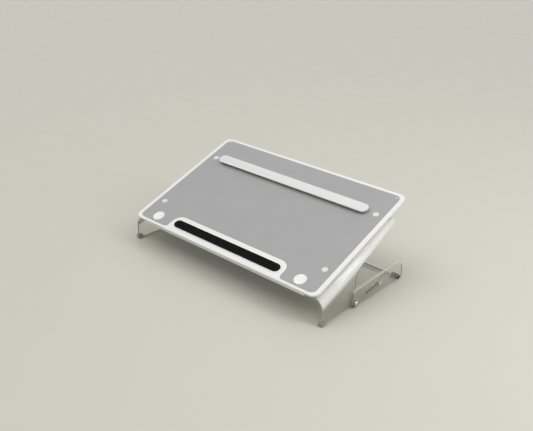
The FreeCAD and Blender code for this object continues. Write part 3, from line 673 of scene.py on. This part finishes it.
# Operators, one for each piece or group of like pieces.

class PieceOperator(Operator):
    """Common base: an operator that dresses some pieces from the scene's settings."""

    bl_options = {"REGISTER", "UNDO"}

    def execute(self, context):
        """Dress the pieces, or stop with an error."""
        self.make(context, context.scene.slope_colours, context.scene.slope_details)
        return {"FINISHED"}


class SLOPE_OT_board(PieceOperator):
    """White board and the grey mat in it"""

    bl_idname = "slope.board"
    bl_label = "Board and mat"

    def make(self, context, colours, details):
        dress("board", white_board(colours), details.edge_round)
        dress("mat", grey_mat(colours), details.small_round / 2)


class SLOPE_OT_ledge(PieceOperator):
    """Black pen ledge with rounded ribs along it"""

    bl_idname = "slope.ledge"
    bl_label = "Pen ledge"

    def make(self, context, colours, details):
        low, high = extent(solids("pen_strip")[0], SLOPE)
        half_length, half_width = (high.x - low.x) / 2, (high.y - low.y) / 2
        middle = (low.y + high.y) / 2
        straight = half_length - half_width
        rim_rounding = 1.2 * MM
        fade_start = 1 * MM
        fade_length = 1.5 * MM
        steps_across = 96

        def height(x, across):
            """Height of the top: rounded at the rim, with grooves that fade out at both ends."""
            over = max(0, abs(x) - straight)
            inside = half_width - math.hypot(over, across)
            rim = 0
            if inside < rim_rounding:
                part = 1 - max(0, inside) / rim_rounding
                rim = rim_rounding * (1 - math.sqrt(max(0, 1 - part * part)))
            groove = 0
            for number in range(details.rib_count):
                centre = (number - (details.rib_count - 1) / 2) * details.rib_pitch
                part = abs(across - centre) / (details.rib_gap / 2)
                if part < 1:
                    groove = details.rib_depth * (0.5 + 0.5 * math.cos(math.pi * part)) ** 0.6
            fade = min(1, max(0, (half_length - details.rib_margin + fade_start - abs(x)) / fade_length))
            return high.z - rim - groove * fade

        corners, faces = [], []
        row = steps_across + 3
        stations = self.stations(half_length, half_width, details.rib_margin)
        for x in stations:
            over = max(0, abs(x) - straight)
            half = math.sqrt(max(0, half_width ** 2 - over ** 2))
            line = [(-half, low.z)]
            for step in range(steps_across + 1):
                across = half * (2 * step / steps_across - 1)
                line.append((across, height(x, across)))
            line.append((half, low.z))
            corners += [SLOPE @ Vector((x, middle + across, out)) for across, out in line]
        for station in range(len(stations) - 1):
            for step in range(row - 1):
                first = station * row + step
                faces.append((first, first + row, first + row + 1, first + 1))
        for station in (0, len(stations) - 1):
            faces.append(tuple(station * row + step for step in range(row)))
        ledge = add_piece("pen_ledge", corners, faces, BODY_OF["pen_strip"],
                          "pen_strip", math.radians(60))
        ledge.data.materials.append(ledge_rubber(colours))

    def stations(self, half_length, half_width, margin):
        """Places along the ledge: close round its ends and where the grooves end, wide between them."""
        straight = half_length - half_width
        end_steps = 30
        middle_steps = 20
        tip = 0.02 * MM
        turns = [math.pi / 2 * step / end_steps for step in range(end_steps)]
        ends = [-straight - half_width * math.cos(turn) for turn in turns]
        grooves = [-half_length + margin + shift * MM for shift in (-2, -1.5, -1, -0.5, 0, 0.5, 1)]
        middle = [-straight + 2 * straight * step / middle_steps for step in range(middle_steps + 1)]
        half = ends + [x for x in grooves if x > -straight] + middle
        places = sorted(set(round(x, 7) for x in half + [-x for x in half]))
        return [x for x in places if abs(x) < half_length - tip]


class SLOPE_OT_inlays(PieceOperator):
    """Bare round discs near the board's front corners"""

    bl_idname = "slope.inlays"
    bl_label = "Round discs"

    def make(self, context, colours, details):
        rim_width = 1.1 * MM
        rim_slope = 0.25 * MM
        rim_rounding = 0.12 * MM
        dip = 0.14 * MM
        steps = 96

        def profile(radius, low, high):
            rim = radius - rim_width
            return ([(0, low, ROUND), (radius, low, ROUND)]
                    + rounded_end(radius, high, rim_rounding, 1)
                    + [(rim, high, ROUND), (rim - rim_slope, high - dip, ROUND), (0, high - dip, ROUND)])
        discs = turned_piece("round_discs", "badge_discs", lambda points: SLOPE, profile, steps)
        discs.data.materials.append(white_parts(colours))


class SLOPE_OT_heads(PieceOperator):
    """Wide white screw heads in the mat, with the stop pins behind them"""

    bl_idname = "slope.heads"
    bl_label = "Screw heads and stop pins"

    def make(self, context, colours, details):
        shank = 2 * MM
        point = 0.8 * MM
        seat = 1.3 * MM
        dome = 0.25 * MM
        edge = 0.1 * MM

        def head(radius, low, high):
            return [(0, low, ROUND), (shank * 0.6, low, ROUND), (shank, low + point, ROUND),
                    (shank, high - seat, ROUND), (radius, high - seat, ROUND),
                    (radius, high - dome - edge, ROUND), (radius * 0.985, high - dome, ROUND),
                    (radius * 0.93, high - dome * 0.6, ROUND), (radius * 0.7, high - dome * 0.2, ROUND),
                    (radius * 0.35, high - dome * 0.04, ROUND), (0, high, ROUND)]

        def pin(radius, low, high):
            return rounded_rod(radius, low, high, details.small_round)
        heads = turned_piece("screw_heads", "runner_screws", lambda points: SLOPE, head)
        heads.data.materials.append(nylon_heads(colours))
        pins = turned_piece("stop_pin_pair", "stop_pins", lambda points: SLOPE, pin)
        pins.data.materials.append(turned_steel(colours))


class SLOPE_OT_guide(PieceOperator):
    """Opal page guide on its two soft feet"""

    bl_idname = "slope.guide"
    bl_label = "Page guide"

    def make(self, context, colours, details):
        dress("guide_bar", opal_plastic(colours), details.edge_round * 1.6)
        for side in ("left", "right"):
            dress("guide_foot_" + side, soft_foot(colours), details.edge_round)


class SLOPE_OT_stand(PieceOperator):
    """Clear bent stand, its leg plates and its soft front feet"""

    bl_idname = "slope.stand"
    bl_label = "Stand, legs and feet"

    def make(self, context, colours, details):
        sheet = clear_sheet(colours, details)
        dress("stand", sheet, details.edge_round)
        for side in ("left", "right"):
            dress("leg_" + side, sheet, details.edge_round)
            dress("front_foot_" + side, soft_foot(colours), details.edge_round * 1.6)


class SLOPE_OT_rails(PieceOperator):
    """Aluminium rails under the board and the shoes that they slide in"""

    bl_idname = "slope.rails"
    bl_label = "Rails and shoes"

    def make(self, context, colours, details):
        for side in ("left", "right"):
            dress("runner_" + side, drawn_rail(colours), details.small_round)
            for end in ("front", "rear"):
                dress("shoe_" + end + "_" + side, shoe_plastic(colours), details.small_round)


class SLOPE_OT_pivots(PieceOperator):
    """Pivot screws with hexagon sockets, and their nuts"""

    bl_idname = "slope.pivots"
    bl_label = "Pivot screws"

    def make(self, context, colours, details):
        shank = 3 * MM
        tip_rounding = 0.6 * MM
        head = 3 * MM
        socket_depth = 1.8 * MM
        # The head's dome, as a share of its radius at a height over its seat.
        dome = ((1, 0), (1, 0.7 * MM), (0.97, 1.3 * MM), (0.87, 2.1 * MM), (0.7, 2.7 * MM), (0.52, head))
        chamfer = 0.5 * MM
        bore = shank + SCREW_GAP
        nut_solid = solids("pivot_nuts")[0]
        low, high = extent(nut_solid, outward_axes(nut_solid))
        flat = min(high.x - low.x, high.y - low.y) / 2

        def screw(radius, low, high):
            under = high - head
            return ([(0, low, ROUND)] + rounded_end(shank, low, tip_rounding, -1)[::-1]
                    + [(shank, under, ROUND)]
                    + [(radius * share, under + rise, ROUND) for share, rise in dome]
                    + with_socket(details.socket_width, high, socket_depth))

        def nut(radius, low, high):
            return [(bore, low, ROUND), (flat * 0.96, low, ROUND), (flat, low + chamfer, HEX),
                    (flat, high - chamfer, HEX), (flat * 0.96, high, ROUND), (bore, high, ROUND),
                    (bore, low, ROUND)]
        for name, node, profile in (("pivot_screw_pair", "pivot_screws", screw),
                                    ("pivot_nut_pair", "pivot_nuts", nut)):
            piece = turned_piece(name, node, outward_axes, profile)
            piece.data.materials.append(turned_steel(colours))


class SLOPE_OT_shoe_screws(PieceOperator):
    """Screws from below through the clear sheet into the shoes"""

    bl_idname = "slope.shoe_screws"
    bl_label = "Shoe screws"

    def make(self, context, colours, details):
        radius = details.shoe_screw_head / 2
        head = 2.2 * MM
        rim = 0.7 * MM
        shank = 1.75 * MM
        grip = 3.4 * MM
        point = 0.8 * MM
        socket = 1.2 * MM
        socket_depth = 1.2 * MM
        drill_depth = 1.3 * MM
        turned = []
        for name in sorted(frame["nodes"]):
            if not name.startswith("shoe_"):
                continue
            low, high = extent(solids(name)[0], SLOPE)
            seat = low.z - details.sheet_thickness
            end = seat - head
            tip = low.z + grip
            profile = ([(0, end + drill_depth, ROUND), (socket, end + socket_depth, HEX),
                        (socket, end, HEX), (radius * 0.6, end, ROUND)]
                       + rounded_end(radius, end, rim, -1)[::-1]
                       + [(radius, seat, ROUND), (shank, seat, ROUND), (shank, tip - point, ROUND),
                          (shank * 0.5, tip, ROUND), (0, tip, ROUND)])
            turned.append((profile, SLOPE, ((low.x + high.x) / 2, (low.y + high.y) / 2), details.steps))
        screws = turned_set("shoe_screw_set", turned, "stand")
        screws.data.materials.append(turned_steel(colours))


class SLOPE_OT_pegs(PieceOperator):
    """Steel pegs with knurled knobs in the leg plates' holes"""

    bl_idname = "slope.pegs"
    bl_label = "Pegs"

    def make(self, context, colours, details):
        stem = 2.5 * MM
        tip_rounding = 0.8 * MM
        knob = 4 * MM
        lower_chamfer = 0.4 * MM
        upper_chamfer = 0.6 * MM
        ridges = 20

        def profile(radius, low, high):
            under = high - knob
            return ([(0, low, ROUND)] + rounded_end(stem, low, tip_rounding, -1)[::-1]
                    + [(stem, under, ROUND), (radius * 0.9, under, ROUND),
                       (radius, under + lower_chamfer, ridges), (radius, high - upper_chamfer, ridges),
                       (radius * 0.86, high, ROUND), (0, high, ROUND)])
        for side in ("left", "right"):
            peg = turned_piece("peg_knob_" + side, "peg_" + side, outward_axes, profile, ridges * 6)
            peg.data.materials.append(turned_steel(colours))


class SLOPE_OT_rod(PieceOperator):
    """Cross rod, its foam sleeves and its end buttons"""

    bl_idname = "slope.rod"
    bl_label = "Cross rod"

    def make(self, context, colours, details):
        rod_low, rod_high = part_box("cross_rod")
        bore = (rod_high.z - rod_low.z) / 2 + SCREW_GAP
        foam_rounding = 1.2 * MM

        def rod(radius, low, high):
            return rounded_rod(radius, low, high, details.small_round)

        def sleeve(radius, low, high):
            return ([(bore, low, ROUND)] + rounded_end(radius, low, foam_rounding, -1)[::-1]
                    + rounded_end(radius, high, foam_rounding, 1)
                    + [(bore, high, ROUND), (bore, low, ROUND)])

        def button(radius, low, high):
            return [(0, low, ROUND), (radius, low, ROUND), (radius, low + 0.9 * MM, ROUND),
                    (radius * 0.94, low + 1.5 * MM, ROUND), (radius * 0.78, high - 0.4 * MM, ROUND),
                    (radius * 0.45, high - 0.08 * MM, ROUND), (0, high, ROUND)]
        for name, node, profile, finish in (("rod_bar", "cross_rod", rod, turned_steel),
                                            ("rod_foam", "rod_sleeve", sleeve, sleeve_foam),
                                            ("rod_buttons", "rod_caps", button, dark_cap)):
            piece = turned_piece(name, node, outward_axes, profile)
            piece.data.materials.append(finish(colours))


# The stage.

def add_sun(name, turn, strength, softness):
    """Even light from one side, with soft shadows."""
    data = bpy.data.lights.new(name, "SUN")
    data.energy = strength
    data.angle = softness
    lamp = bpy.data.objects.new(name, data)
    lamp.rotation_euler = Euler(turn)
    bpy.context.scene.collection.objects.link(lamp)


def add_lamp(name, place, target, width, depth, power):
    """Large soft lamp that faces a point."""
    data = bpy.data.lights.new(name, "AREA")
    data.shape = "RECTANGLE"
    data.size = width
    data.size_y = depth
    data.energy = power
    lamp = bpy.data.objects.new(name, data)
    lamp.location = place
    lamp.rotation_euler = (Vector(target) - lamp.location).to_track_quat("-Z", "Y").to_euler()
    bpy.context.scene.collection.objects.link(lamp)


class SLOPE_OT_stage(Operator):
    """Plain pale floor, soft lamps, white sky and the camera"""

    bl_idname = "slope.stage"
    bl_label = "Stage"
    bl_options = {"REGISTER", "UNDO"}

    def execute(self, context):
        """Set the stage, or stop with an error."""
        stage = context.scene.slope_stage
        colours = context.scene.slope_colours
        self.add_floor(colours)
        middle = (Vector(cad_bounds[0]) + Vector(cad_bounds[1])) / 2
        add_sun("key_sun", stage.key_turn, stage.key_strength, stage.key_softness)
        add_lamp("side_lamp", stage.side_place, middle, SIDE_WIDTH, SIDE_DEPTH, stage.side_power)
        self.add_sky(context, stage)
        self.add_camera(context, stage)
        context.scene.view_settings.view_transform = "Standard"
        # Light crosses many faces in the clear sheet, which would turn black with fewer bounces.
        context.scene.cycles.max_bounces = BOUNCES
        context.scene.cycles.transmission_bounces = BOUNCES
        return {"FINISHED"}

    def add_floor(self, colours):
        """Wide level floor just under the feet."""
        half = 40
        drop = -0.1 * MM
        mesh = bpy.data.meshes.new("floor")
        corners = [(-half, -half, drop), (half, -half, drop), (half, half, drop), (-half, half, drop)]
        mesh.from_pydata(corners, [], [(0, 1, 2, 3)])
        floor = bpy.data.objects.new("floor", mesh)
        bpy.context.scene.collection.objects.link(floor)
        mesh.materials.append(moulded("floor_plain", colours.floor, contrast=0.006, patches=6,
                                      rough=(0.5, 0.6), grain=700, height=0.02 * MM))

    def add_sky(self, context, stage):
        """White to the eye, and soft light that comes mostly from overhead."""
        world = bpy.data.worlds.new("white_sky")
        world.use_nodes = True
        context.scene.world = world
        tree = world.node_tree
        rays = tree.nodes.new("ShaderNodeLightPath").outputs
        seen = math_node(tree, "MAXIMUM", rays["Is Camera Ray"],
                         math_node(tree, "MAXIMUM", rays["Is Glossy Ray"], rays["Is Transmission Ray"]))
        direction = tree.nodes.new("ShaderNodeTexCoord").outputs["Generated"]
        height = add_node(tree, "SeparateXYZ", {0: direction}).outputs[2]
        light = spread(tree, height, -0.1, 0.9, stage.sky * stage.horizon, stage.sky)
        strength = choose(tree, seen, light, 1.0)
        background = tree.nodes["Background"]
        background.inputs["Color"].default_value = (1, 1, 1, 1)
        tree.links.new(strength, background.inputs["Strength"])

    def add_camera(self, context, stage):
        """Camera at the photograph's angle."""
        data = bpy.data.cameras.new("camera")
        data.sensor_fit = "HORIZONTAL"
        data.sensor_width = 36
        data.lens = stage.lens
        data.clip_start = 0.01
        camera = bpy.data.objects.new("camera", data)
        camera.location = stage.camera_place
        camera.rotation_euler = Euler(stage.camera_turn)
        context.scene.collection.objects.link(camera)
        context.scene.camera = camera


STEPS = (SLOPE_OT_stage, SLOPE_OT_board, SLOPE_OT_ledge, SLOPE_OT_inlays, SLOPE_OT_heads, SLOPE_OT_guide,
         SLOPE_OT_stand, SLOPE_OT_rails, SLOPE_OT_shoe_screws, SLOPE_OT_pivots, SLOPE_OT_pegs, SLOPE_OT_rod)


class SLOPE_PT_panel(Panel):
    """Sidebar panel with the settings and the steps"""

    bl_idname = "SLOPE_PT_panel"
    bl_label = "Writing slope"
    bl_space_type = "VIEW_3D"
    bl_region_type = "UI"
    bl_category = "Slope"

    def draw(self, context):
        """List the steps, then the settings."""
        for step in STEPS:
            self.layout.operator(step.bl_idname)
        for group in (context.scene.slope_colours, context.scene.slope_details, context.scene.slope_stage):
            box = self.layout.box()
            for name in group.__annotations__:
                box.prop(group, name)


CLASSES = (SlopeColours, SlopeDetails, SlopeStage, *STEPS, SLOPE_PT_panel)


def register():
    """Register the classes and hang the settings on the scene."""
    for item in CLASSES:
        bpy.utils.register_class(item)
    bpy.types.Scene.slope_colours = PointerProperty(type=SlopeColours)
    bpy.types.Scene.slope_details = PointerProperty(type=SlopeDetails)
    bpy.types.Scene.slope_stage = PointerProperty(type=SlopeStage)


def unregister():
    """Take the settings and the classes away again."""
    del bpy.types.Scene.slope_stage
    del bpy.types.Scene.slope_details
    del bpy.types.Scene.slope_colours
    for item in reversed(CLASSES):
        bpy.utils.unregister_class(item)


def main():
    """Register the settings and steps, then dress the slope step by step."""
    register()
    for step in STEPS:
        group, name = step.bl_idname.split(".")
        getattr(getattr(bpy.ops, group), name)()


if __name__ == "__main__":
    main()
